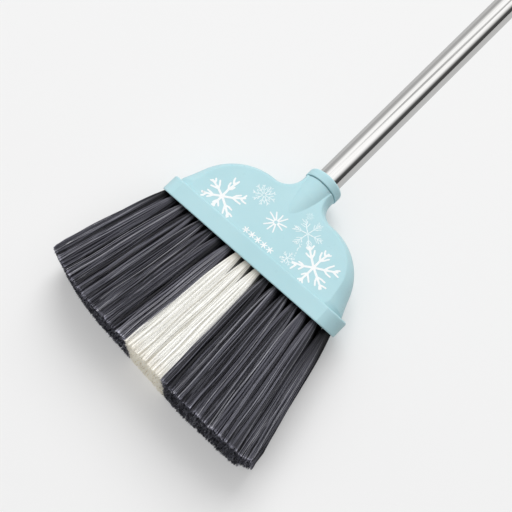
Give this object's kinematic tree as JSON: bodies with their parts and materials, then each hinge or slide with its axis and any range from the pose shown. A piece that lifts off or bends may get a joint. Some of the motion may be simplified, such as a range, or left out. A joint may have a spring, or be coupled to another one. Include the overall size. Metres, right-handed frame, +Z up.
{
  "type": "snow brush",
  "caption": "Snow brush with a fan-shaped light blue head, slant-cut dark and white bristles and a screw-in steel handle.",
  "frame": {"origin": "bottom centre of the whole brush as it lies on its back", "axes": "+Y along the handle towards its hanging cap, +X across the head, +Z up, out of the head's front face"},
  "size_m": [0.249, 0.9004, 0.0544],
  "materials": {
    "housing_plastic": "satin moulded polypropylene, light ice blue",
    "block_plastic": "black moulded polypropylene",
    "tip_plastic": "dark grey moulded nylon",
    "zinc_steel": "zinc-plated",
    "tube_steel": "bright polished stainless steel",
    "dark_bristle": "dark grey crimped monofilament",
    "white_bristle": "white monofilament"
  },
  "bodies": {
    "head": {"head_housing": "housing_plastic", "rim_band": "housing_plastic", "bristle_block": "block_plastic", "block_screws": "zinc_steel", "tuft_anchors": "zinc_steel", "thread_sleeve": "block_plastic", "collar_ring": "housing_plastic", "tuft_column_01": "dark_bristle", "tuft_column_02": "dark_bristle", "tuft_column_03": "dark_bristle", "tuft_column_04": "dark_bristle", "tuft_column_05": "dark_bristle", "tuft_column_06": "dark_bristle", "tuft_column_07": "dark_bristle", "tuft_column_08": "dark_bristle", "tuft_column_09": "white_bristle", "tuft_column_10": "white_bristle", "tuft_column_11": "white_bristle", "tuft_column_12": "dark_bristle", "tuft_column_13": "dark_bristle", "tuft_column_14": "dark_bristle", "tuft_column_15": "dark_bristle", "tuft_column_16": "dark_bristle", "tuft_column_17": "dark_bristle", "tuft_column_18": "dark_bristle"},
    "handle": {"handle_tube": "tube_steel"},
    "screw": {"thread_tip": "tip_plastic", "hang_cap": "tip_plastic"}
  },
  "joints": [
    {"name": "handle_advance", "type": "slide", "parent": "head", "child": "handle", "axis": [0, 1, 0], "range_m": [0, 0.025]},
    {"name": "handle_turn", "type": "hinge", "parent": "handle", "child": "screw", "pos_m": [-0.00231, -0.21177, 0.02732], "axis": [0, 1, 0], "range_deg": [0, 1800]}
  ],
  "couplings": [
    {"joint": "handle_advance", "follows": "handle_turn", "m_per_rad": 0.00079577}
  ]
}
